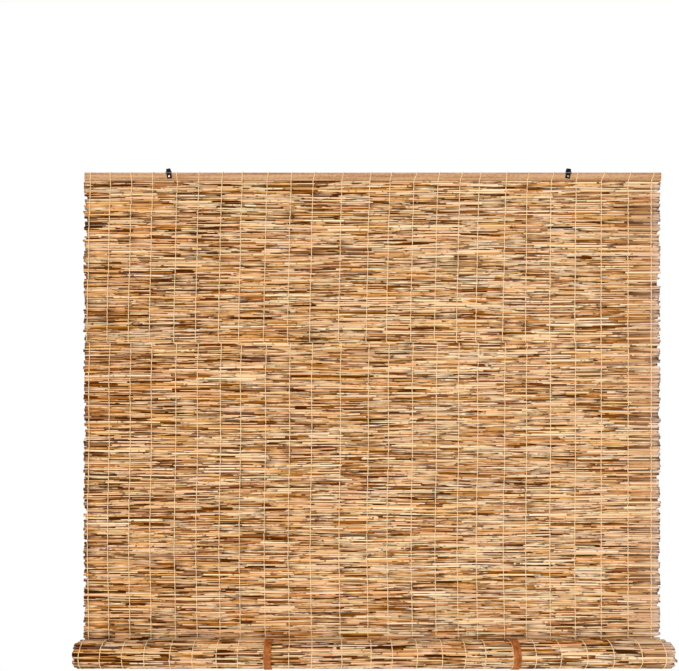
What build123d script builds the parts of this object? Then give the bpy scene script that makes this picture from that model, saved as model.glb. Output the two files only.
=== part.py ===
from build123d import *
from cmath import exp
from math import asin, cos, degrees, floor, hypot, pi, radians, sin
import os

# A reed roll-up blind. Reeds lie side by side, bound by warp yarns that also take in the header batten at the top.
# The lower end is wound round a thin slat into a roll, towards the room, and two leather straps hold the roll.
# Two steel hangers swivel on screws in the header and hook over nails.
# Millimetres, +X to the right, +Y to the wall, +Z up. The origin is the middle of the line between the hooks' seats.

# Header batten
header_length = 1200.0
header_height = 17.0
header_thickness = 8.0
edge_ease = 0.8

# Reed mat
mat_width = header_length
hanging_length = 974.0
nominal_pitch = 6.0
reed_thickness = 4.6
reed_crest = 2.6
valley_thickness = 1.6

# Roll at the lower end
roll_radius = 28.4
turn_gap = 0.3
slat_height = 16.0
slat_thickness = 5.0
slat_ease = 0.6

# Warp yarns: the gaps between neighbours, in the rhythm of a hand-set loom, spread over the mat's width
yarn_gaps = (42, 44, 44, 51, 45, 48, 42, 52, 50, 46, 60, 58, 42, 50, 50, 46, 40, 56, 46, 50, 52, 54, 56, 48)
yarn_width = 1.5
yarn_thickness = 0.6
first_yarn_inset = 8.4
last_yarn_inset = 21.0
yarn_slack = 0.05
yarn_step = 24.0
nip_angle = 25.0

# Hangers: a folded steel strip with a plate, shoulders, a tongue and a hook
strip_thickness = 1.2
plate_width = 10.0
plate_tail = 3.5
plate_corner = 1.0
shoulder_width = 12.4
shoulder_height = 3.2
shoulder_below_edge = 1.4
tongue_width = 8.5
hook_rise = 9.0
hook_radius = 2.5
lip_length = 1.0
hanger_lean = 10.0
left_hanger_yarn = 4
left_hanger_gap = 12.0
right_hanger_yarn = 21
right_hanger_gap = 16.4

# Screws that the hangers swivel on
screw_radius = 1.25
screw_depth = 6.0
screw_head_radius = 2.0
screw_head_height = 1.5
screw_below_edge = 9.0
swivel_clearance = 0.05

# Straps round the roll
strap_width = 15.0
strap_thickness = 1.3
strap_gap = 0.3
strap_lap_gap = 0.15
strap_step = 15.0
strap_fold = 1.0
slot_rise = 17.0
slot_clearance = 0.3
left_strap_yarn = 8
right_strap_yarn = 18
strap_beside_yarn = 10.0
lap_start = 75.0
lap_end = 30.0

# Press studs that close the straps
stud_radius = 4.5
stud_height = 1.6
post_radius = 1.5
stud_chord = 1

# Levels and planes that follow from the sizes above
bend_above_screw = screw_below_edge + hook_rise - strip_thickness - hook_radius
screw_level = -bend_above_screw * cos(radians(hanger_lean))
header_top = screw_level + screw_below_edge
header_bottom = header_top - header_height
header_front = -hook_radius
header_back = header_front + header_thickness
mat_plane = (header_front + header_back) / 2
hanging_reeds = round(hanging_length / nominal_pitch)
reed_pitch = hanging_length / hanging_reeds
turn_pitch = reed_thickness + turn_gap
winding_in = turn_pitch / (2 * pi)
innermost_radius = (slat_height + reed_thickness) / 2

# In the cross-section a point is one complex number, depth + height * 1j, and times -1j is a quarter turn clockwise
roll_centre = complex(mat_plane - roll_radius, header_bottom - hanging_length)
mat_start = complex(mat_plane, header_bottom)


def across(outline, width, x=0.0):
    """A solid with this cross-section, so wide, centred at x."""
    face = make_face(Polyline(*[(p.real, p.imag) for p in outline], close=True))
    return Pos(x, 0, 0) * extrude(Plane.YZ * face, width / 2, both=True)


def beside(path, distance):
    """The path moved to the right of its travel, with mitred corners."""
    legs = [(b - a) / abs(b - a) for a, b in zip(path, path[1:])]
    moved = []
    for point, before, after in zip(path, legs[:1] + legs, legs + legs[-1:]):
        mitre = (before + after) / (1 + (before * after.conjugate()).real)
        moved.append(point - 1j * mitre * distance)
    return moved


def winding(turned):
    """The mat's mid-plane after it has turned so many radians: down the wall side, under, up the front and over."""
    return roll_radius - winding_in * turned


def wrap(start, end, step, stand_off):
    """A path of short chords round the roll's outside, from one angle to another in degrees."""
    count = max(1, round(abs(end - start) / step))
    chord = radians(end - start) / count
    corners = [radians(start) + chord * (i + 0.5) for i in range(count)]
    reach = [(a, winding(a) + reed_thickness / 2 + stand_off) for a in [radians(start), *corners, radians(end)]]
    reach[1:-1] = [(a, radius / cos(chord / 2)) for a, radius in reach[1:-1]]
    return [roll_centre + radius * exp(-1j * a) for a, radius in reach]


# The reed mat is one wall: a ridge for each reed on both faces, and a valley at each binding between two reeds.
# It hangs straight and then runs on as a spiral until it meets the slat.

def reed_stations():
    """The centre and the direction of travel of each reed, from the header down and into the roll."""
    stations = [(mat_start - 1j * reed_pitch * (i + 0.5), -1j) for i in range(hanging_reeds)]
    turned = reed_pitch / 2 / roll_radius
    while winding(turned) >= innermost_radius:
        spoke = exp(-1j * turned)
        travel = -spoke * (winding_in + 1j * winding(turned))
        stations.append((roll_centre + winding(turned) * spoke, travel / abs(travel)))
        turned += reed_pitch / hypot(winding(turned), winding_in)
    return stations


def mat_face(stations, side):
    """One face of the mat: side 1 is the room side, which the roll turns inwards, and -1 the wall side."""
    points = [mat_start - side * valley_thickness / 2]
    for i, (centre, travel) in enumerate(stations):
        outward = -1j * travel * side
        crest = centre + outward * reed_thickness / 2
        points += [crest - travel * reed_crest / 2, crest + travel * reed_crest / 2]
        if i + 1 < len(stations):
            next_centre, next_travel = stations[i + 1]
            binding = (centre + next_centre) / 2
            leg = (travel + next_travel) / abs(travel + next_travel)
        else:
            binding = centre + travel * reed_pitch / 2
            leg = travel
        points.append(binding - 1j * leg * side * valley_thickness / 2)
    return points


def make_mat(stations, slots):
    mat = across(mat_face(stations, 1) + mat_face(stations, -1)[::-1], mat_width)
    for slot in slots:
        mat -= slot
    return mat


def make_slat(stations):
    """The slat at the roll's middle, edge on against the innermost reed."""
    centre, travel = stations[-1]
    inward = -1j * travel
    middle = centre + inward * (reed_thickness + slat_height) / 2
    slat = Box(mat_width, slat_thickness, slat_height)
    slat = chamfer(slat.edges().filter_by(Axis.X), slat_ease)
    lie = Plane(origin=(0, middle.real, middle.imag), x_dir=(1, 0, 0), z_dir=(0, inward.real, inward.imag))
    return lie * slat


def make_header(screws):
    middle = (header_top + header_bottom) / 2
    batten = Pos(0, mat_plane, middle) * Box(header_length, header_thickness, header_height)
    batten = chamfer(batten.edges(), edge_ease)
    for screw in screws:
        batten -= screw
    return batten


# Each warp yarn is one strip. It lies on the reeds' room side, goes over the header and comes down the wall side,
# then follows the outside of the roll to the nip, where the roll meets the hanging mat.

def yarn_places():
    span = mat_width - first_yarn_inset - last_yarn_inset
    scale = span / sum(yarn_gaps)
    return [-mat_width / 2 + first_yarn_inset + scale * sum(yarn_gaps[:i]) for i in range(len(yarn_gaps) + 1)]


def yarn_path():
    room_side = mat_plane - reed_thickness / 2
    wall_side = mat_plane + reed_thickness / 2
    first_crest = header_bottom - (reed_pitch - reed_crest) / 2
    nip = roll_centre.imag + winding(2 * pi) * sin(radians(nip_angle))
    over_header = [
        complex(header_front, header_bottom + edge_ease),
        complex(header_front, header_top - edge_ease),
        complex(header_front + edge_ease, header_top),
        complex(header_back - edge_ease, header_top),
        complex(header_back, header_top - edge_ease),
        complex(header_back, header_bottom + edge_ease),
    ]
    room = [complex(room_side, nip), complex(room_side, first_crest)]
    return room + over_header + [complex(wall_side, first_crest)] + wrap(0, 360 - nip_angle, yarn_step, yarn_slack)


def make_yarns():
    # the room side's travel is upwards, so the free side of the yarn is on the left
    path = yarn_path()
    outline = path + beside(path, -yarn_thickness)[::-1]
    return Compound(children=[across(outline, yarn_width, x) for x in yarn_places()])


# A hanger is cut as a flat blank and folded: its side view gives the fold, its front view the blank.

def make_hanger(x, lean):
    fold = Pos(hook_radius, bend_above_screw) * (Circle(hook_radius + strip_thickness) - Circle(hook_radius))
    reach = 2 * (hook_radius + strip_thickness)
    fold &= Pos(hook_radius, bend_above_screw + reach / 2) * Rectangle(reach, reach)
    plate_length = plate_tail + bend_above_screw
    fold += Pos(-strip_thickness / 2, bend_above_screw - plate_length / 2) * Rectangle(strip_thickness, plate_length)
    lip_y = 2 * hook_radius + strip_thickness / 2
    fold += Pos(lip_y, bend_above_screw - lip_length / 2) * Rectangle(strip_thickness, lip_length)
    strip = extrude(Plane.YZ * fold, shoulder_width / 2, both=True)

    shoulder_low = screw_below_edge - shoulder_below_edge
    shoulder_high = shoulder_low + shoulder_height
    step = (shoulder_width - plate_width) / 2
    hook_top = bend_above_screw + hook_radius + strip_thickness
    half = [
        (0, -plate_tail),
        (plate_width / 2, -plate_tail),
        (plate_width / 2, shoulder_low - step),
        (shoulder_width / 2, shoulder_low),
        (shoulder_width / 2, shoulder_high),
        (tongue_width / 2, shoulder_high + step),
        (tongue_width / 2, hook_top),
        (0, hook_top),
    ]
    blank = make_face(Polyline(*half, close=True))
    blank = fillet(blank.vertices().sort_by(Axis.Y)[:2].sort_by(Axis.X)[-1], plate_corner)
    blank += mirror(blank, Plane.YZ)
    strip &= extrude(Plane.XZ * blank, 2 * reach, both=True)
    strip -= Rot(90, 0, 0) * Cylinder(screw_radius + swivel_clearance, 2 * reach)
    return Pos(x, header_front, screw_level) * Rot(0, -lean, 0) * strip


def turned(*corners):
    """A solid turned about Z: each corner is a radius and a level."""
    return revolve(Plane.XZ * make_face(Polyline(*corners, close=True)), Axis.Z)


def make_screw(x):
    """A low-headed screw, its shank through the hanger and into the header."""
    under_head = strip_thickness
    head_top = under_head + screw_head_height
    screw = turned(
        (0, -screw_depth),
        (screw_radius, -screw_depth),
        (screw_radius, under_head),
        (screw_head_radius, under_head),
        (screw_head_radius, head_top),
        (0, head_top),
    )
    return Pos(x, header_front, screw_level) * Rot(90, 0, 0) * screw


# A strap passes through the mat just above the nip, over the roll's top, down its front and under it.
# Its ends overlap behind the roll, where a press stud closes it.

slot_binding = floor((hanging_length - slot_rise) / reed_pitch)
slot_level = header_bottom - slot_binding * reed_pitch


def strap_path():
    """The strap's inner face, from the end that lies inside the lap to the end that lies on it."""
    behind = mat_plane + reed_thickness / 2 + strap_gap
    through = slot_level - strap_thickness / 2
    meeting = degrees(asin((through - roll_centre.imag) / (winding(2 * pi) + reed_thickness / 2 + strap_gap)))
    inner = wrap(lap_start, 0, strap_step, strap_gap)
    fold = [complex(behind, through - strap_fold), complex(behind - strap_fold, through)]
    round_front = wrap(360 - meeting, lap_start + strap_step, strap_step, strap_gap)
    lap = wrap(lap_start, lap_end, strap_step, strap_gap + strap_thickness + strap_lap_gap)
    return inner + fold + round_front + lap


def make_slot(x):
    width = strap_width + 2 * slot_clearance
    height = strap_thickness + 2 * slot_clearance
    return Pos(x, mat_plane, slot_level) * Box(width, 2 * reed_thickness, height)


def make_stud(x):
    """A round cap with a post through both ends of the strap."""
    path = strap_path()
    start = path[stud_chord]
    end = path[stud_chord + 1]
    outward = -1j * (end - start) / abs(end - start)
    layers = 2 * strap_thickness + strap_lap_gap
    seat = (start + end) / 2 + outward * layers
    stud = turned(
        (0, -layers),
        (post_radius, -layers),
        (post_radius, 0),
        (stud_radius, 0),
        (stud_radius, stud_height),
        (0, stud_height),
    )
    return Plane(origin=(x, seat.real, seat.imag), x_dir=(1, 0, 0), z_dir=(0, outward.real, outward.imag)) * stud


def make_strap(x, stud):
    path = strap_path()
    return across(path + beside(path, strap_thickness)[::-1], strap_width, x) - stud


stations = reed_stations()
yarns = yarn_places()
left_hanger_x = yarns[left_hanger_yarn] - left_hanger_gap
right_hanger_x = yarns[right_hanger_yarn] - right_hanger_gap
left_strap_x = yarns[left_strap_yarn] + strap_beside_yarn
right_strap_x = yarns[right_strap_yarn] + strap_beside_yarn
left_screw = make_screw(left_hanger_x)
right_screw = make_screw(right_hanger_x)
left_stud = make_stud(left_strap_x)
right_stud = make_stud(right_strap_x)

pieces = {
    "header_batten": make_header([left_screw, right_screw]),
    "reed_mat": make_mat(stations, [make_slot(left_strap_x), make_slot(right_strap_x)]),
    "bottom_slat": make_slat(stations),
    "warp_yarns": make_yarns(),
    "left_hanger": make_hanger(left_hanger_x, hanger_lean),
    "right_hanger": make_hanger(right_hanger_x, -hanger_lean),
    "left_screw": left_screw,
    "right_screw": right_screw,
    "left_strap": make_strap(left_strap_x, left_stud),
    "right_strap": make_strap(right_strap_x, right_stud),
    "left_stud": left_stud,
    "right_stud": right_stud,
}

os.makedirs("parts", exist_ok=True)
for name, piece in pieces.items():
    export_step(piece, f"parts/{name}.step")

print("reeds", len(stations), "of them hanging", hanging_reeds, "pitch", round(reed_pitch, 3))
print("mat length", round(len(stations) * reed_pitch, 1), "roll centre", roll_centre)
print("hangers", left_hanger_x, right_hanger_x, "straps", left_strap_x, right_strap_x)
print("header top and bottom", round(header_top, 3), round(header_bottom, 3), "slot level", round(slot_level, 3))
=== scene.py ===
# %% [markdown]
# # A reed roll-up blind
# A reed blind is a mat of dried reeds, bound side by side by rows of twisted yarn, and hung from a flat
# wooden batten by two steel hooks. Its lower end is rolled up towards the room, and two leather straps hold
# the roll. The frame comes from the CAD model, so every piece is made in metres at its real place: X runs
# along the batten, Y goes towards the wall and Z goes up.

import bpy
import math
import random
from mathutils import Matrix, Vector


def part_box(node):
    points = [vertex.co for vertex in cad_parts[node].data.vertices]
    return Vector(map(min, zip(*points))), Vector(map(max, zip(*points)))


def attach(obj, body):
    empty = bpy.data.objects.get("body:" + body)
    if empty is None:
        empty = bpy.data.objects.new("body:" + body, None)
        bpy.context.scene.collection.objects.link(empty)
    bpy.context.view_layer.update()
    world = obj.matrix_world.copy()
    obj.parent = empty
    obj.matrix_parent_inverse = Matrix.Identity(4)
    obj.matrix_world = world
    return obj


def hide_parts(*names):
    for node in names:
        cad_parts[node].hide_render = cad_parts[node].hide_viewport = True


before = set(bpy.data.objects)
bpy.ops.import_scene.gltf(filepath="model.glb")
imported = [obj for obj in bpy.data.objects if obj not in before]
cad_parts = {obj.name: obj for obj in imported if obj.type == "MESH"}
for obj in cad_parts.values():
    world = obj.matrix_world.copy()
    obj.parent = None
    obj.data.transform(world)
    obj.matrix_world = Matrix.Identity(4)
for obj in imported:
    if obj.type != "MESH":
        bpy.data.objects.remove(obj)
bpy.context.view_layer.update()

# %% [markdown]
# ## Sizes that the pieces share
# The CAD nodes give the header's box and the mat's width, so only the sizes inside the mat are written here.
# The mat's middle plane hangs straight down and then winds into the roll as a spiral. A point of that section
# is one complex number, depth plus height times 1j: a quarter turn clockwise is then one multiplication
# by -1j.

# %% Sizes
mm = 0.001
header_low, header_high = (Vector(corner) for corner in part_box("header_batten"))
half_width = Vector(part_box("reed_mat")[1]).x
mat_plane = (header_low.y + header_high.y) / 2
reed_thickness = 4.6 * mm
turn_pitch = 4.9 * mm
roll_radius = 28.4 * mm
innermost_radius = 10.3 * mm
hanging_length = 974 * mm
hanging_reeds = 162
reed_pitch = hanging_length / hanging_reeds
first_turn = math.ceil(2 * math.pi * roll_radius / reed_pitch)
winding_in = turn_pitch / (2 * math.pi)
mat_start = complex(mat_plane, header_low.z)
roll_centre = complex(mat_plane - roll_radius, header_low.z - hanging_length)


def winding(turned):
    """The distance of the mat's middle plane from the roll's centre, after so many radians."""
    return roll_radius - winding_in * turned


def spoke(turned):
    """The direction from the roll's centre: from the wall side, under, up the front and over."""
    return complex(math.cos(turned), -math.sin(turned))


def reed_stations():
    """The centre and the direction of travel of each course of reeds, from the header into the roll."""
    found = [(mat_start - 1j * reed_pitch * (i + 0.5), -1j) for i in range(hanging_reeds)]
    turned = reed_pitch / 2 / roll_radius
    while winding(turned) >= innermost_radius:
        travel = -spoke(turned) * (winding_in + 1j * winding(turned))
        found.append((roll_centre + winding(turned) * spoke(turned), travel / abs(travel)))
        turned += reed_pitch / math.hypot(winding(turned), winding_in)
    return found


stations = reed_stations()
print("courses", len(stations), "of them in the outer turn", first_turn)
print("pitch", round(reed_pitch / mm, 2), "mm")

# %% [markdown]
# ## A helper for materials
# A material is a small program of nodes. Writing it as sums and products is much easier to read, so one class
# wraps a socket and gives it the usual operators. Each operation adds its Math node. Every other node comes
# from one method, which takes the node's type, its settings, and the values or links of its sockets.


# %% Socket arithmetic
class Number:
    """The output of a node, which can be added, multiplied and so on."""

    def __init__(self, finish, socket):
        self.finish = finish
        self.socket = socket

    def math(self, operation, other, reflected=False):
        first, second = (other, self) if reflected else (self, other)
        return self.finish.node("ShaderNodeMath", {"operation": operation}, {0: first, 1: second})

    def __add__(self, other):
        return self.math("ADD", other)

    def __sub__(self, other):
        return self.math("SUBTRACT", other)

    def __rsub__(self, other):
        return self.math("SUBTRACT", other, reflected=True)

    def __mul__(self, other):
        return self.math("MULTIPLY", other)

    def __mod__(self, other):
        return self.math("FLOORED_MODULO", other)

    __radd__ = __add__
    __rmul__ = __mul__


class Finish:
    """A material, with its Principled shader and the nodes that feed it."""

    def __init__(self, name, roughness, metallic=0.0, specular=0.5):
        self.material = bpy.data.materials.new(name)
        self.material.use_nodes = True
        self.tree = self.material.node_tree
        self.shader = self.tree.nodes["Principled BSDF"]
        self.shader.inputs["Metallic"].default_value = metallic
        self.shader.inputs["Roughness"].default_value = roughness
        self.shader.inputs["Specular IOR Level"].default_value = specular

    def link(self, value, socket):
        """A value goes onto the socket, and a link goes to it."""
        if isinstance(value, Number):
            self.tree.links.new(value.socket, socket)
        else:
            socket.default_value = value

    def node(self, kind, settings=None, inputs=None, output=0):
        """Any node: its settings first, then its sockets."""
        made = self.tree.nodes.new(kind)
        for name, value in (settings or {}).items():
            if name == "stops":
                self.set_stops(made.color_ramp, value)
            else:
                setattr(made, name, value)
        for name, value in (inputs or {}).items():
            self.link(value, made.inputs[name])
        return Number(self, made.outputs[output])

    def set_stops(self, ramp, stops):
        """The stops of a colour ramp, each a place from 0 to 1 and a colour."""
        while len(ramp.elements) < len(stops):
            ramp.elements.new(0.5)
        for element, (place, colour) in zip(ramp.elements, stops):
            element.position = place
            element.color = colour

    def place(self):
        """The point on the object, in metres."""
        return self.node("ShaderNodeTexCoord", output="Object")

    def scaled(self, point, scale):
        """The point times a scale for each axis: the larger the number, the finer the pattern that way."""
        return self.node("ShaderNodeVectorMath", {"operation": "MULTIPLY"}, {0: point, 1: scale})

    def attribute(self, name):
        return self.node("ShaderNodeAttribute", {"attribute_name": name}, output="Fac")

    def noise(self, point, scale=1.0, detail=2.0):
        inputs = {"Vector": point, "Scale": scale, "Detail": detail}
        return self.node("ShaderNodeTexNoise", None, inputs, "Fac")

    def between(self, value, low, high, to_low=0.0, to_high=1.0):
        """value moved smoothly from one range to another, and kept inside it."""
        return self.node(
            "ShaderNodeMapRange",
            {"interpolation_type": "SMOOTHSTEP"},
            {"Value": value, "From Min": low, "From Max": high, "To Min": to_low, "To Max": to_high},
        )

    def ramp(self, value, stops):
        return self.node("ShaderNodeValToRGB", {"stops": stops}, {"Fac": value}, "Color")

    def mix(self, factor, first, second, blend="MIX"):
        """Two colours mixed. Sockets 6, 7 and output 2 are the node's colour ones."""
        settings = {"data_type": "RGBA", "blend_type": blend}
        return self.node("ShaderNodeMix", settings, {0: factor, 6: first, 7: second}, 2)

    def bump(self, height, strength, distance):
        """Small relief: height goes from 0 to 1, and the distance is its depth in metres."""
        inputs = {"Height": height, "Strength": strength, "Distance": distance}
        self.link(self.node("ShaderNodeBump", None, inputs, "Normal"), self.shader.inputs["Normal"])

    def colour(self, colour):
        self.link(colour, self.shader.inputs["Base Color"])


def tint(red, green, blue):
    """A colour as it looks on a screen, from 0 to 255, made linear for Blender."""
    linear = [((c / 255 + 0.055) / 1.055) ** 2.4 if c > 10 else c / 255 / 12.92 for c in (red, green, blue)]
    return (*linear, 1.0)


# %% [markdown]
# ## Dried reed
# Each reed has one main colour, from pale straw through golden and orange tan to dark brown. It is chosen by
# a number, the tone, which every reed carries as an attribute, because reeds that differ from their
# neighbours are what makes the mat look real. Noise then changes the tone along the reed: stains slowly,
# streaks in long lines and fibres in fine ones. Each reed's seed moves the place where the noise is read, so
# no stain runs on into the next reed. Brown reeds are most frequent at the left edge and rarest right of the
# middle.

# %% Reed tone
palest_at = 380 * mm
browner_from = 450 * mm
reed = Finish("dried_reed", roughness=0.62, specular=0.02)
point = reed.place()
seed = reed.attribute("seed")
shift = reed.node("ShaderNodeCombineXYZ", None, {"X": seed * 9.0, "Y": seed * 5.0, "Z": seed * 3.0})
moved = reed.node("ShaderNodeVectorMath", {"operation": "ADD"}, {0: point, 1: shift})
fibres = reed.noise(reed.scaled(moved, (30.0, 1400.0, 1400.0)), detail=3.0)
stains = reed.noise(reed.scaled(moved, (24.0, 60.0, 60.0)), detail=2.0)
streaks = reed.noise(reed.scaled(moved, (14.0, 520.0, 520.0)), detail=1.0)
tone = reed.attribute("tone") + (stains - 0.5) * 0.35 + (streaks - 0.5) * 0.5 + (fibres - 0.5) * 0.2
along = reed.node("ShaderNodeSeparateXYZ", None, {0: point}, "X")
tone = tone + reed.between(along, -half_width, palest_at, 0.06, -0.068)
tone = tone + reed.between(along, browner_from, half_width, 0.0, 0.1)
print("reed tone has", len(reed.tree.nodes), "nodes")

# %% [markdown]
# The tone picks its colour from a palette. Then come the marks: a brown ring at each joint of the plant,
# small dark blotches, a hue that leans a little to pink or to green from reed to reed, and here and there a
# greyer reed.

# %% Reed colours and marks
palette = [
    (0.00, tint(255, 234, 196)),
    (0.16, tint(255, 222, 175)),
    (0.34, tint(252, 202, 145)),
    (0.50, tint(226, 167, 97)),
    (0.66, tint(165, 100, 26)),
    (0.80, tint(92, 45, 0)),
    (1.00, tint(48, 20, 0)),
]
joints_per_metre = 7.4
colour = reed.ramp(tone, palette)
joint = (along * joints_per_metre + seed * 13.0) % 1.0
ring = reed.between(joint, 0.0, 0.022) * reed.between(joint, 0.022, 0.05, 1.0, 0.0)
colour = reed.mix(ring * 0.55, colour, tint(112, 62, 22))
blotches = reed.noise(reed.scaled(moved, (70.0, 260.0, 260.0)), detail=2.0)
colour = reed.mix(reed.between(blotches, 0.66, 0.8) * 0.6, colour, tint(120, 61, 10))
hue = reed.noise(shift, scale=11.0, detail=0.0)
hues = [(0.34, tint(255, 242, 246)), (0.5, tint(255, 253, 253)), (0.62, tint(252, 255, 247))]
colour = reed.mix(1.0, colour, reed.ramp(hue, hues), "MULTIPLY")
grey = reed.between(reed.noise(shift, scale=7.0, detail=0.0), 0.6, 0.68)
colour = reed.mix(grey * 0.3, colour, tint(192, 146, 122))
print("reed colours have", len(palette), "stops and", len(hues), "hues")

# %% [markdown]
# A reed's flanks, where it meets the next one, are painted darker as the shade between reeds, and its cut
# ends are painted dark as the shade inside a hollow end. The mesh carries both as attributes. Towards the
# right edge the reeds are bleached, and their tips most of all.

# %% Painted shade on reed flanks and cut ends, and the bleached edge
# Painted shade on the flanks, where one reed meets the next.
flank = reed.between(reed.attribute("flank"), 0.35, 0.95)
colour = reed.mix(flank * 0.58, colour, tint(108, 51, 0))
bleached = reed.between(along, half_width - 110 * mm, half_width + 20 * mm)
colour = reed.mix(bleached * 0.34, colour, tint(205, 172, 140))
tips = reed.between(along, half_width - 26 * mm, half_width - 4 * mm)
colour = reed.mix(tips * 0.4, colour, tint(238, 214, 198))
# Painted shade at the cut ends, as in the hollow of a cut reed.
colour = reed.mix(reed.attribute("end"), colour, tint(72, 32, 0))
reed.colour(colour)
reed.link(reed.between(fibres, 0.3, 0.7, 0.5, 0.75), reed.shader.inputs["Roughness"])
reed.bump(fibres, 0.35, 0.0004)
print("reed finish has", len(reed.tree.nodes), "nodes")

# %% [markdown]
# ## One reed, modelled once
# A piece of reed is a thin six-sided stick: from a step away its shading is round, and thousands of copies
# stay light. It is added as a cylinder along X, one unit long and one unit in radius, and is cut across by
# bisect where it needs a ring: near both cut ends and in the middle. A short reed only has the middle one.
# Each copy then gets its own length, thickness and bow.


# %% The blank reed
def start_afresh():
    """Nothing is selected, so the next operator acts only on what it adds."""
    if bpy.context.object and bpy.context.object.mode != "OBJECT":
        bpy.ops.object.mode_set(mode="OBJECT")
    bpy.ops.object.select_all(action="DESELECT")


def blank_reed(sides, cuts):
    """A unit stick along X from 0 to 1, with a ring at each cut. Returns its points and its faces."""
    start_afresh()
    bpy.ops.mesh.primitive_cylinder_add(
        vertices=sides, radius=1.0, depth=1.0, location=(0.5, 0, 0), rotation=(0, math.pi / 2, 0)
    )
    blank = bpy.context.object
    bpy.ops.object.transform_apply(location=True, rotation=True, scale=True)
    bpy.ops.object.mode_set(mode="EDIT")
    for cut in cuts:
        bpy.ops.mesh.select_all(action="SELECT")
        bpy.ops.mesh.bisect(plane_co=(cut, 0, 0), plane_no=(1, 0, 0))
    bpy.ops.mesh.select_all(action="DESELECT")
    bpy.ops.object.mode_set(mode="OBJECT")
    points = [tuple(v.co) for v in blank.data.vertices]
    faces = [tuple(p.vertices) for p in blank.data.polygons]
    bpy.data.objects.remove(blank)
    return points, faces


long_blank = blank_reed(6, (0.25, 0.5, 0.75))
short_blank = blank_reed(6, (0.5,))
print("blank reeds have", len(long_blank[1]), "and", len(short_blank[1]), "faces")

# %% [markdown]
# ## Laying the reeds
# In each course the reeds lie end to end across the mat, and where two meet they overlap, so the binding
# holds both. Some stretches are one thick reed, and most are two or three thin ones. Darker reeds fill the
# valleys between the courses, so no light comes through. On top lie short slivers, thin ends that show
# between their neighbours: the dark ones are thin dark ends and painted shadows between the reeds, and the
# pale ones are painted highlights. Many ends stop just past a yarn, because that is where the weaver adds
# the next reed. Some courses stop short of the mat's edge, which leaves it uneven. All the random choices
# come from one seeded source, so the mat is the same each time.

# %% How reeds are chosen
draw = random.Random(41)
left_edge = (-603.5 * mm, -600 * mm)
right_edge = (597.3 * mm, 599.7 * mm)
short_by = (0, 0, 0, 0, 0, 0, 0, 1, 1.5, 2, 3, 6)
stub = (10 * mm, 60 * mm)
sliver = (24 * mm, 110 * mm)


def yarn_places():
    """The rows of yarn along X. Their gaps are uneven, in proportion to these numbers."""
    gaps = (42, 44, 44, 51, 45, 48, 42, 52, 50, 46, 60, 58, 42, 50, 50, 46, 40, 56, 46, 50, 52, 54, 56, 48)
    first = -half_width + 8.4 * mm
    last = half_width - 21 * mm
    return [first + (last - first) * sum(gaps[:i]) / sum(gaps) for i in range(len(gaps) + 1)]


yarns = yarn_places()
print("rows of yarn", len(yarns))

# %% [markdown]
# The tone of a reed depends on what it does in the mat, so there is one small function for each kind.


# %% Tones by chance
def light_tone(brown=0.13):
    """Most reeds are pale or golden, and some are brown."""
    pick = draw.random()
    if pick < brown:
        return draw.uniform(0.66, 0.98)
    if pick < brown + 0.24:
        return draw.uniform(0.46, 0.72)
    return draw.uniform(0.0, 0.46)


def thick_tone():
    """Thick reeds are seldom brown."""
    return light_tone(0.05)


def dark_tone():
    """The fillers in the valleys are dark brown more often."""
    return draw.uniform(0.62, 1.0) if draw.random() < 0.7 else draw.uniform(0.25, 0.6)


def black_tone():
    """Thin dark ends, and the shadows between reeds."""
    return draw.uniform(0.84, 1.0)


def highlight_tone():
    """Pale slivers, painted highlights: thin light lines between the reeds."""
    return draw.uniform(0.0, 0.3)


# %% [markdown]
# A strand is one line of reeds from edge to edge. The functions below lay a strand, two or three of them side
# by side, the fillers behind and the short ends on top, and at last a whole course.


# %% Strands and courses
def split(start, end, shortest, longest):
    """The places where one reed ends and the next begins, many of them just past a yarn."""
    cuts = [start]
    while end - cuts[-1] > longest:
        cut = cuts[-1] + draw.uniform(shortest, longest)
        if draw.random() < 0.4:
            nearest = min(yarns, key=lambda x: abs(x - cut))
            cut = nearest + draw.uniform(-7, 7) * mm
        cuts.append(max(cut, cuts[-1] + shortest / 2))
    if end - cuts[-1] < shortest / 2 and len(cuts) > 1:
        cuts.pop()
    return cuts + [end]


def add_reed(laid, course, left, right, radii, sideways, depth, tone, dark_ends):
    """One reed. sideways is along the course's travel, depth is towards the room, each at both ends."""
    laid.append(
        {
            "course": course,
            "x": (left, right),
            "radius": radii,
            "sideways": sideways,
            "depth": depth,
            "bow": draw.gauss(0, 0.15) * mm,
            "tone": tone(),
            "seed": draw.random(),
            # dark and cut: how strong the painted shade at each cut end is, and how far along the reed it
            # reaches.
            "dark": dark_ends,
            "cut": draw.uniform(2, 6) * mm,
        }
    )


def lay(
    laid, course, start, end, lengths, radius, sideways, depth, tone=light_tone, spread=0.28 * mm, thin=0.82
):
    """One strand of reeds, end to end: each goes in front of one neighbour and behind the other."""
    cuts = split(start, end, *lengths)
    for i, (left, right) in enumerate(zip(cuts, cuts[1:])):
        overlap = draw.uniform(6, 18) * mm
        thick = radius * draw.uniform(0.9, 1.08)
        over = draw.choice((-1, 1)) * 0.3 * mm
        add_reed(
            laid,
            course,
            left - (0 if i == 0 else overlap / 2),
            right + (0 if i + 2 == len(cuts) else overlap / 2),
            (thick, thick * draw.uniform(thin, 0.97))[:: draw.choice((1, -1))],
            (sideways + draw.gauss(0, spread), sideways + draw.gauss(0, spread)),
            (depth + over, depth - over),
            tone,
            (draw.choice((0.1, 0.8, 1.0)), draw.choice((0.1, 0.8, 1.0))),
        )


def back_up(laid, course, start, end, radius, sideways, depth, tone):
    """Fillers behind: even and without gaps, so no light comes through."""
    lay(laid, course, start, end, (70 * mm, 220 * mm), radius, sideways, depth, tone, 0.1 * mm, 0.9)


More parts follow.
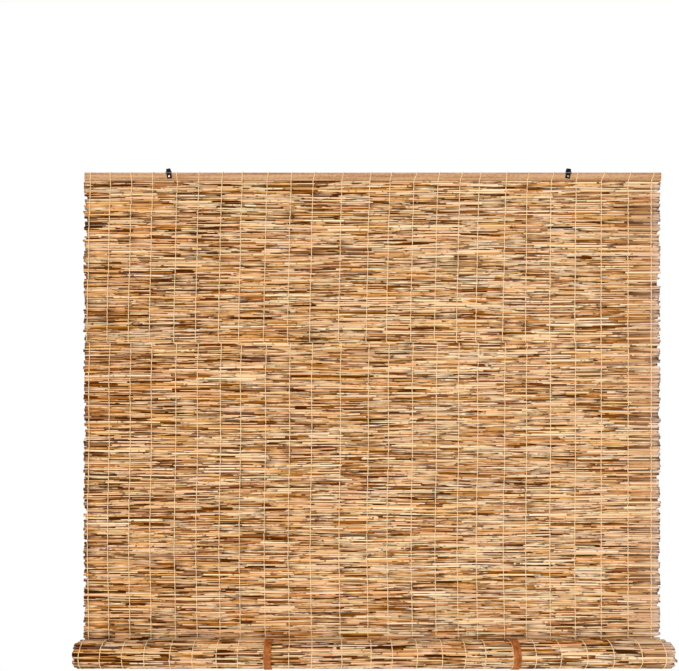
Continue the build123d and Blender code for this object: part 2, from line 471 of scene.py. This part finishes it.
def side_by_side(laid, course, left, right, count):
    """Two or three thin reeds share the place of a thick one, in uneven shares."""
    shares = [draw.uniform(0.6, 1.4) for _ in range(count)]
    total = 6.6 * mm
    fullest = 2.3 * mm
    lengths = (20 * mm, 85 * mm)
    place = -total / 2
    for share in shares:
        width = total * share / sum(shares)
        depth = 0.35 * mm + 0.5 * (fullest - min(width / 2, fullest))
        lay(laid, course, left, right, lengths, width / 2, place + width / 2, depth, spread=0.2 * mm)
        place += width
    back_up(laid, course, left, right, 1.8 * mm, 1.5 * mm, -0.7 * mm, light_tone)
    back_up(laid, course, left, right, 1.8 * mm, -1.5 * mm, -0.7 * mm, light_tone)


def scatter(laid, course, start, end, gap, lengths, radii, low, out, tone):
    """Short thin ends that show on top, at uneven places: one end blunt and the other drawn out."""
    x = start + draw.expovariate(1 / gap)
    while x < end - lengths[1]:
        length = draw.uniform(*lengths)
        thick = draw.uniform(*radii)
        shape = (thick, thick * draw.uniform(0.2, 0.7))[:: draw.choice((1, -1))]
        lean = draw.gauss(0, 0.25) * mm
        middle = low + draw.gauss(0, 0.5) * mm
        across = (middle - lean, middle + lean)
        add_reed(laid, course, x, x + length, shape, across, (out, out), tone, (0.6, 0.6))
        x += length + draw.expovariate(1 / gap)


def fill_course(laid, course, longer=0.0):
    """Stretches of one, two or three reeds, a filler in the valley below, and dark and pale ends on top, as
    painted shadows and highlights.
    """
    start = draw.uniform(*left_edge) - longer + draw.choice(short_by) * mm
    end = draw.uniform(*right_edge) + longer - draw.choice(short_by) * mm
    in_pair = (course % 2 - 0.5) * -0.6 * mm
    edges = split(start, end, 90 * mm, 330 * mm)
    for left, right in zip(edges, edges[1:]):
        left -= 5 * mm if left > start else 0
        right += 5 * mm if right < end else 0
        count = draw.choices((1, 2, 3), (0.22, 0.44, 0.34))[0]
        if count == 1:
            uneven = in_pair + draw.gauss(0, 0.35) * mm
            lay(laid, course, left, right, (25 * mm, 90 * mm), 2.8 * mm, uneven, 0.1 * mm, thick_tone)
        else:
            side_by_side(laid, course, left, right, count)
    valley = reed_pitch / 2
    deep = -0.4 * mm if course % 2 == 0 else -0.75 * mm
    inset = draw.uniform(1, 6) * mm
    back_up(laid, course, start + inset, end - inset, 2.4 * mm, valley, deep, dark_tone)
    # Dark stubs are thin dark ends and painted shadows between the reeds; pale slivers are painted
    # highlights.
    scatter(laid, course, start, end, 90 * mm, stub, (0.9 * mm, 1.45 * mm), valley, 1.45 * mm, black_tone)
    scatter(laid, course, start, end, 80 * mm, sliver, (0.75 * mm, 1.25 * mm), valley, 1.5 * mm, highlight_tone)
    scatter(laid, course, start, end, 330 * mm, stub, (0.6 * mm, 1.1 * mm), 0.0, 2.0 * mm, black_tone)


# %% [markdown]
# ## One mesh from many reeds
# Thousands of separate objects would be slow, so the copies of the blank go into one mesh. For each ring of a
# copy, its place, its thickness and its bow are worked out, and its points are set round that. On the roll
# the mat's wall side faces out, so depth is counted the other way there. The attributes tone, seed, end and
# flank are written at the same time, for the finish to read.


# %% Copies of the blank in one mesh
def wander(x, course):
    """How far a course bends away from straight. Neighbours bend alike, so they don't cross."""
    long_bend = 1.2 * math.sin(x * 7.1 + course * 0.11)
    short_bend = 0.5 * math.sin(x * 19.3 - course * 0.29 + 1.3)
    ripple = 0.2 * math.sin(x * 47.0 + course * 0.83)
    settled = min(1.0, course / 8)
    return (long_bend + short_bend + ripple) * settled * mm


def squeeze(value, low, high):
    """The value, kept between low and high."""
    return max(low, min(high, value))


def blend(pair, share):
    """Between a reed's two ends: share 0 is the left one and share 1 the right one."""
    return pair[0] * (1 - share) + pair[1] * share


def reed_mesh(name, laid):
    """All these reeds in one mesh. Those longer than long_enough get the blank with more rings."""
    long_enough = 70 * mm
    points, faces = [], []
    marks = {"tone": [], "seed": [], "end": [], "flank": []}
    for piece in laid:
        centre, travel = stations[piece["course"]]
        outward = -1j * travel * (1 if piece["course"] < hanging_reeds else -1)
        left, right = piece["x"]
        length = right - left
        near_end = min(piece["cut"], length / 4)
        rings = {0.0: 0.0, 0.25: near_end, 0.5: length / 2, 0.75: length - near_end, 1.0: length}
        blank_points, blank_faces = long_blank if length > long_enough else short_blank
        offset = len(points)
        for x, across, out in blank_points:
            ring = round(x * 4) / 4
            at_end = ring in (0.0, 1.0)
            share = rings[ring] / length
            place = left + rings[ring]
            radius = blend(piece["radius"], share) * (0.86 if at_end else 1)
            sideways = blend(piece["sideways"], share)
            depth = blend(piece["depth"], share)
            sideways += piece["bow"] * 4 * share * (1 - share) + wander(place, piece["course"])
            flat = min(radius, reed_thickness / 2)
            at = centre + travel * (sideways + across * radius) + outward * (depth + out * flat)
            points.append((place, at.real, at.imag))
            # end and flank place the painted shade at the cut ends and on the flanks.
            marks["end"].append(piece["dark"][int(ring)] if at_end else 0.0)
            marks["tone"].append(piece["tone"])
            marks["seed"].append(piece["seed"])
            marks["flank"].append(abs(across))
        faces += [tuple(offset + corner for corner in face) for face in blank_faces]
    mesh = bpy.data.meshes.new(name)
    mesh.from_pydata(points, [], faces)
    for mark, values in marks.items():
        mesh.attributes.new(mark, "FLOAT", "POINT").data.foreach_set("value", values)
    made = bpy.data.objects.new(name, mesh)
    bpy.context.collection.objects.link(made)
    made.data.materials.append(reed.material)
    smooth(made)
    print(name, "reeds", len(laid), "triangles", sum(len(f) - 2 for f in faces))
    return made


def smooth(made, angle=50):
    """Smooth shading across gentle edges only."""
    start_afresh()
    made.select_set(True)
    bpy.context.view_layer.objects.active = made
    bpy.ops.object.shade_smooth_by_angle(angle=math.radians(angle))
    made.select_set(False)


# %% [markdown]
# Only the roll's outer turn shows, so the turns inside it get one plain strand for each course. The front of
# the roll bulges, so its courses are longer there. The reeds on the roll are a little browner. The hanging
# mat is cut into four pieces, from the top down, so that no piece is too heavy.

# %% Lay the hanging mat and the roll
browner_roll = 1.14
hanging, rolled = [], []
for course in range(hanging_reeds):
    fill_course(hanging, course)
for course in range(hanging_reeds, len(stations)):
    if course < hanging_reeds + first_turn:
        from_centre = stations[course][0] - roll_centre
        front = squeeze(-from_centre.real / abs(from_centre), 0, 1)
        bulge = 6 * front - 4 + draw.gauss(0, 1.2)
        fill_course(rolled, course, longer=bulge * mm)
    else:
        start = draw.uniform(*left_edge)
        end = draw.uniform(*right_edge)
        lay(rolled, course, start, end, (500 * mm, 700 * mm), 2.6 * mm, 0.0, 0.0)
for piece in rolled:
    piece["tone"] *= browner_roll
quarter = math.ceil(hanging_reeds / 4)
reed_pieces = [reed_mesh("reeds_rolled", rolled)]
for i, name in enumerate(("reeds_top", "reeds_upper", "reeds_lower", "reeds_bottom")):
    part = [piece for piece in hanging if piece["course"] // quarter == i]
    reed_pieces.append(reed_mesh(name, part))
for piece in reed_pieces:
    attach(piece, "blind")
    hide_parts("reed_mat")

# %% [markdown]
# ## Warp yarns
# Each row of binding is one yarn, doubled over the header: its two halves run down the two faces of the mat
# and cross after every second reed, so each face shows a line of small slanting stitches. In Blender a yarn
# is a curve with a round bevel, which is converted to a mesh. The rows share a slow drift to the left and
# right, because the whole mat is woven in one go, and a third of the way down it jumps, where two woven
# lengths are joined.

# %% Where the yarns run
yarn_radius = 0.82 * mm
yarn_crest = 2.75 * mm
courses_per_stitch = 2
# Each course, and the drift to the right there in millimetres.
drift = [
    (-3, 5.0), (0, 4.2), (4, 3.3), (10, 2.1), (18, 0.6), (27, 0.2), (38, -1.9), (48, -2.9),
    (55.8, -3.5), (55.98, 2.7), (59, 2.3), (64, 1.2), (69, 0.4), (79, 1.0), (90, 1.0), (100, 0.2),
    (110, -1.5), (121, -2.1), (131, -2.3), (142, -0.8), (152, 0.0), (162, 0.4), (177, 3.0), (300, 3.0),
]
# Each place along X in metres, and the share of the drift that a row has there.
drift_share = [(-1.0, 1.0), (0.285, 1.0), (0.32, 0.5), (0.44, 0.45), (0.475, 0.05), (1.0, 0.0)]
# How far to the right each row starts at the header's top, in millimetres, besides its drift.
header_slants = (
    0.6, -0.8, -1.9, -0.2, -1.8, -0.2, 1.0, -0.2, 1.9, 1.0, 2.5, 1.7, 1.7,
    2.3, 4.8, 2.1, 3.5, 2.3, 0.0, 2.7, 4.0, 1.9, 5.6, 4.0, 4.8,
)


def read_off(table, value):
    """The table's second column where its first is this value, in a straight line between two rows."""
    for (before, low), (after, high) in zip(table, table[1:]):
        if value <= after:
            return low + (high - low) * (value - before) / (after - before)


def drifted(course, x):
    """How far a yarn has drifted sideways at this course. The rows near the right edge drift less."""
    return read_off(drift, course) * read_off(drift_share, x) * mm


def on_mat(course):
    """The mat's middle plane: whole numbers are the bindings, and halves the middles of the reeds."""
    place = squeeze(course - 0.5, 0, len(stations) - 1.001)
    i = int(place)
    (centre, travel), (next_centre, next_travel) = stations[i], stations[i + 1]
    share = place - i
    turn = travel + (next_travel - travel) * share
    return centre + (next_centre - centre) * share, turn / abs(turn)


def half_yarn(x, side):
    """One half of a yarn, from the header down: over two reeds, across to the other face, and so on."""
    waver = [draw.gauss(0, 0.25) * mm for _ in stations]
    points = []
    last = hanging_reeds + first_turn
    for start in range(0, last - courses_per_stitch, courses_per_stitch):
        slant = 0.5 * mm * side
        stitch = [(0.0, -slant, 0.0), (0.22, -slant / 2, 1.0), (1.78, slant / 2, 1.0)]
        for step, shift, out in stitch:
            course = start + step
            if course == 0.0:
                continue
            centre, travel = on_mat(course)
            at = centre - 1j * travel * side * out * yarn_crest
            points.append((x + drifted(course, x) + waver[start] + shift, at.real, at.imag, 1.0))
        side = -side
    return points


def over_header(x, slant):
    """From the wall side, over the header, to the room side, with a small knot at the header's top edge."""
    low = header_low.z + 1 * mm
    high = header_high.z
    front = header_low.y - yarn_radius / 2
    back = header_high.y + yarn_radius / 2
    top = x + drifted(-3, x) + slant
    bottom = x + drifted(0, x)
    ease = 0.8 * mm
    return [
        (bottom, back, low, 1.0),
        (top, back, high - ease, 1.0),
        (top, back - ease, high + yarn_radius / 2, 1.0),
        (top, front + ease, high + yarn_radius / 2, 1.0),
        (top + 0.9 * mm, front - 0.4 * mm, high - 0.3 * mm, 1.7),
        (top - 0.6 * mm, front - 0.5 * mm, high - 1.8 * mm, 1.9),
        (top, front, high - 3.4 * mm, 1.0),
        (bottom, front, low, 1.0),
    ]


def yarn_piece(name, rows):
    """These rows as one mesh, made from round curves. A point's fourth number is its thickness there."""
    start_afresh()
    curve = bpy.data.curves.new(name, "CURVE")
    curve.dimensions = "3D"
    curve.bevel_depth = yarn_radius
    curve.bevel_resolution = 1
    curve.use_fill_caps = True
    for points in rows:
        line = curve.splines.new("POLY")
        line.points.add(len(points) - 1)
        line.points.foreach_set("co", [value for point in points for value in (*point[:3], 1.0)])
        line.points.foreach_set("radius", [point[3] for point in points])
    made = bpy.data.objects.new(name, curve)
    bpy.context.collection.objects.link(made)
    made.select_set(True)
    bpy.context.view_layer.objects.active = made
    bpy.ops.object.convert(target="MESH")
    made = bpy.context.object
    made.data.materials.append(yarn.material)
    smooth(made, 80)
    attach(made, "blind")
    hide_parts("warp_yarns")
    print(name, "triangles", sum(len(p.vertices) - 2 for p in made.data.polygons))


# %% [markdown]
# Cotton yarn is cream, dull and slightly uneven, and its twist shows as fine slanting ridges. The ridges only
# go into the bump, because they are finer than the reeds' own detail.

# %% Yarn finish and yarns
yarn = Finish("cream_cotton", roughness=0.9, specular=0.03)
point = yarn.place()
soil = yarn.noise(point, scale=160.0, detail=2.0)
yarn.colour(yarn.ramp(soil, [(0.3, tint(238, 198, 150)), (0.7, tint(254, 228, 184))]))
slanting = {"bands_direction": "DIAGONAL"}
twist = yarn.node("ShaderNodeTexWave", slanting, {"Vector": point, "Scale": 260.0}, "Fac")
yarn.bump(twist, 0.4, 0.0003)
rows = []
for x, slant in zip(yarns, header_slants):
    rows.append(half_yarn(x, -1)[::-1] + over_header(x, slant * mm) + half_yarn(x, 1))
middle = len(rows) // 2
yarn_piece("yarns_left", rows[:middle])
yarn_piece("yarns_right", rows[middle:])

# %% [markdown]
# ## Wooden header and slat
# The batten is planed softwood. Its grain is noise stretched along X, with a few darker patches. The CAD
# solids are already the right shape, so they only get the finish.

# %% Wood finish
wood = Finish("planed_softwood", roughness=0.7, specular=0.2)
point = wood.place()
grain = wood.noise(wood.scaled(point, (6.0, 260.0, 260.0)), detail=4.0)
fine = wood.noise(wood.scaled(point, (260.0, 600.0, 600.0)), detail=3.0)
shade = grain * 0.6 + fine * 0.5 - 0.05
browns = [(0.30, tint(142, 97, 60)), (0.46, tint(179, 132, 91)), (0.60, tint(203, 161, 119))]
patches = wood.noise(wood.scaled(point, (14.0, 90.0, 90.0)), detail=1.0)
colour = wood.mix(wood.between(patches, 0.66, 0.8) * 0.5, wood.ramp(shade, browns), tint(168, 110, 72))
wood.colour(colour)
wood.bump(fine, 0.25, 0.0003)
for node in ("header_batten", "bottom_slat"):
    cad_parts[node].data.materials.clear()
    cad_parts[node].data.materials.append(wood.material)
    print(node, "has the wood finish")

# %% [markdown]
# ## Hangers, screws, studs and straps
# These solids have the right shape too, but their edges are sharp, and real steel and leather catch the light
# on rounded edges. So each is copied, its loose triangles are merged and joined into flat faces, and a Bevel
# modifier rounds the edges before it is applied. The copy stands for its CAD node.


# %% Eased copies
def eased_copy(node, body, finish, width, segments=2):
    """The CAD node's solid again, with rounded edges and its finish."""
    start_afresh()
    made = bpy.data.objects.new(node + "_eased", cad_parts[node].data.copy())
    bpy.context.collection.objects.link(made)
    made.select_set(True)
    bpy.context.view_layer.objects.active = made
    bpy.ops.object.mode_set(mode="EDIT")
    bpy.ops.mesh.select_all(action="SELECT")
    bpy.ops.mesh.remove_doubles(threshold=0.00001)
    bpy.ops.mesh.dissolve_limited(angle_limit=math.radians(2))
    bpy.ops.object.mode_set(mode="OBJECT")
    bevel = made.modifiers.new("ease", "BEVEL")
    bevel.width = width
    bevel.segments = segments
    bevel.limit_method = "ANGLE"
    bevel.angle_limit = math.radians(40)
    bpy.ops.object.modifier_apply(modifier=bevel.name)
    made.data.materials.clear()
    made.data.materials.append(finish.material)
    smooth(made, 35)
    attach(made, body)
    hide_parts(node)
    print(made.name, "triangles", sum(len(p.vertices) - 2 for p in made.data.polygons))
    return made


# %% [markdown]
# A painted highlight: where the hangers bend over the header's front edge, pale grey patches on their black
# paint stand for the light that the bend catches.

# %% Black paint
paint = Finish("black_paint", roughness=0.5, specular=0.08)
point = paint.place()
orange_peel = paint.noise(point, scale=900.0, detail=2.0)
black = paint.ramp(orange_peel, [(0.3, tint(5, 5, 6)), (0.7, tint(14, 13, 14))])
height = paint.node("ShaderNodeSeparateXYZ", None, {0: point}, "Z")
# Painted highlight: a pale band, broken into patches, at the bend just below the header's top edge.
bend_highlight_height = header_high.z - 1.0 * mm
bend_highlight = paint.between(height, bend_highlight_height - 1.3 * mm, bend_highlight_height)
bend_highlight = bend_highlight * paint.between(height, bend_highlight_height, bend_highlight_height + 1.3 * mm, 1.0, 0.0)
across = paint.node("ShaderNodeSeparateXYZ", None, {0: point}, "Y")
bend_highlight = bend_highlight * paint.between(across, header_low.y - 0.5 * mm, header_low.y + 2 * mm, 1.0, 0.0)
bend_highlight = bend_highlight * paint.between(paint.noise(point, scale=420.0), 0.38, 0.6, 0.25, 1.0)
paint.colour(paint.mix(bend_highlight * 0.9, black, tint(150, 145, 136)))
paint.link(paint.between(orange_peel, 0.2, 0.8, 0.38, 0.55), paint.shader.inputs["Roughness"])
print("black paint has", len(paint.tree.nodes), "nodes")

# %% [markdown]
# The screws are plated, with fine scratches, and each head is painted darker towards its rim: painted shade
# round the domed head's edge. The studs are dull brass, and the straps are tan leather with fine creases and
# slow patches.

# %% Plating, brass and leather
plating = Finish("zinc_plating", roughness=0.3, metallic=1.0)
scratches = plating.noise(plating.scaled(plating.place(), (900.0, 900.0, 5000.0)), detail=2.0)
bright = plating.ramp(scratches, [(0.3, tint(214, 208, 200)), (0.7, tint(250, 244, 236))])
# Painted shade: each head darkens towards its rim.
rim = plating.between(plating.attribute("rim"), 0.7, 1.0)
plating.colour(plating.mix(rim * 0.8, bright, tint(58, 54, 50)))

brass = Finish("dull_brass", roughness=0.4, metallic=1.0)
wear = brass.noise(brass.place(), scale=500.0, detail=3.0)
brass.colour(brass.ramp(wear, [(0.3, tint(150, 112, 62)), (0.7, tint(214, 178, 112))]))

leather = Finish("tan_leather", roughness=0.62, specular=0.2)
point = leather.place()
creases = leather.noise(point, scale=700.0, detail=4.0)
patches = leather.noise(point, scale=110.0, detail=3.0)
tans = [(0.3, tint(122, 61, 14)), (0.5, tint(158, 88, 34)), (0.72, tint(188, 116, 58))]
leather.colour(leather.ramp(patches + (creases - 0.5) * 0.5, tans))
leather.bump(creases, 0.3, 0.0005)
print("plating, brass and leather have", [len(f.tree.nodes) for f in (plating, brass, leather)], "nodes")

# %% [markdown]
# A small box cuts the screwdriver's slot out of each screw's head. The points then get the attribute rim,
# which is 0 at the head's middle and 1 at its edge, and places the painted shade round the head.


# %% Slots, and the small pieces
def cut_slot(screw, turned):
    """The slot, turned so many radians, and the rim attribute that places the plating's painted shade."""
    low, high = (Vector(corner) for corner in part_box(screw.name.replace("_eased", "")))
    start_afresh()
    bpy.ops.mesh.primitive_cube_add(
        size=1, location=((low.x + high.x) / 2, low.y, (low.z + high.z) / 2), rotation=(0, turned, 0)
    )
    cutter = bpy.context.object
    cutter.scale = (6 * mm, 1.2 * mm, 0.9 * mm)
    cut = screw.modifiers.new("slot", "BOOLEAN")
    cut.operation = "DIFFERENCE"
    cut.object = cutter
    start_afresh()
    screw.select_set(True)
    bpy.context.view_layer.objects.active = screw
    bpy.ops.object.modifier_apply(modifier=cut.name)
    bpy.data.objects.remove(cutter)
    axis = Vector(((low.x + high.x) / 2, 0, (low.z + high.z) / 2))
    radii = [math.hypot(v.co.x - axis.x, v.co.z - axis.z) for v in screw.data.vertices]
    shares = [radius / max(radii) for radius in radii]
    screw.data.attributes.new("rim", "FLOAT", "POINT").data.foreach_set("value", shares)


for side, turned in (("left", 0.5), ("right", -0.9)):
    eased_copy(side + "_hanger", side + "_hook_body", paint, 0.25 * mm)
    cut_slot(eased_copy(side + "_screw", "blind", plating, 0.7 * mm, segments=4), turned)
    eased_copy(side + "_stud", "blind", brass, 1.0 * mm, segments=4)
    eased_copy(side + "_strap", "blind", leather, 0.35 * mm)

# %% [markdown]
# ## Floor, light and camera
# The blind hangs in front of plain white. One large soft light stands in front, a little to the left and
# above, and the world fills the shadows. The background is full white for the camera and for mirrors only,
# through Light Path, so it adds no light to the reeds.


# %% White surroundings
def white_for_camera(tree, surface, lit):
    """The surface shows white to the camera and to mirrors, and is the lit shader for everything else."""
    path = tree.nodes.new("ShaderNodeLightPath")
    seen = None
    for ray in ("Is Camera Ray", "Is Glossy Ray", "Is Transmission Ray"):
        either = tree.nodes.new("ShaderNodeMath")
        either.operation = "MAXIMUM"
        tree.links.new(path.outputs[ray], either.inputs[0])
        if seen:
            tree.links.new(seen.outputs[0], either.inputs[1])
        seen = either
    white = tree.nodes.new("ShaderNodeBackground")
    white.inputs["Color"].default_value = (1, 1, 1, 1)
    choice = tree.nodes.new("ShaderNodeMixShader")
    tree.links.new(seen.outputs[0], choice.inputs[0])
    tree.links.new(lit.outputs[0], choice.inputs[1])
    tree.links.new(white.outputs[0], choice.inputs[2])
    tree.links.new(choice.outputs[0], surface)


world = bpy.data.worlds.new("studio")
bpy.context.scene.world = world
world.use_nodes = True
studio = world.node_tree.nodes["Background"]
studio.inputs["Color"].default_value = (1, 1, 1, 1)
studio.inputs["Strength"].default_value = 0.54
white_for_camera(world.node_tree, world.node_tree.nodes["World Output"].inputs["Surface"], studio)
print("world", world.name, "at", round(studio.inputs["Strength"].default_value, 2))


# %% Light and floor
def soft_light(name, direction, strength, softness):
    """A large far light: it comes from this direction, and its softness is its width in degrees."""
    start_afresh()
    bpy.ops.object.light_add(type="SUN", location=direction)
    lamp = bpy.context.object
    lamp.name = name
    lamp.data.energy = strength
    lamp.data.angle = math.radians(softness)
    lamp.rotation_euler = Vector(direction).to_track_quat("Z", "Y").to_euler()


soft_light("key_light", (-0.35, -1.0, 0.2), 1.6, 50)

floor = Finish("pale_floor", roughness=0.9, specular=0.0)
dust = floor.noise(floor.place(), scale=3.0)
floor.colour(floor.ramp(dust, [(0.3, tint(236, 234, 231)), (0.7, tint(242, 240, 237))]))
start_afresh()
bpy.ops.mesh.primitive_circle_add(vertices=96, radius=1.5, fill_type="NGON", location=(0, -0.2, -1.75))
ground = bpy.context.object
ground.name = "floor"
ground.data.materials.append(floor.material)
print("floor at", round(ground.location.z, 2), "m")

# %% [markdown]
# The camera looks level and square at the wall. Its lens is shifted, as in architectural photographs, so the
# blind stands low in the picture and its upright lines stay upright.

# %% Camera
start_afresh()
bpy.ops.object.camera_add(location=(-0.090, -1.153, -0.5946), rotation=(math.pi / 2, 0, 0))
camera = bpy.context.object
camera.data.lens = 29.35
camera.data.shift_x = 0.0146
camera.data.shift_y = 0.1775
bpy.context.scene.camera = camera
bpy.context.scene.view_settings.view_transform = "Standard"
print("camera lens", round(camera.data.lens, 2), "mm")
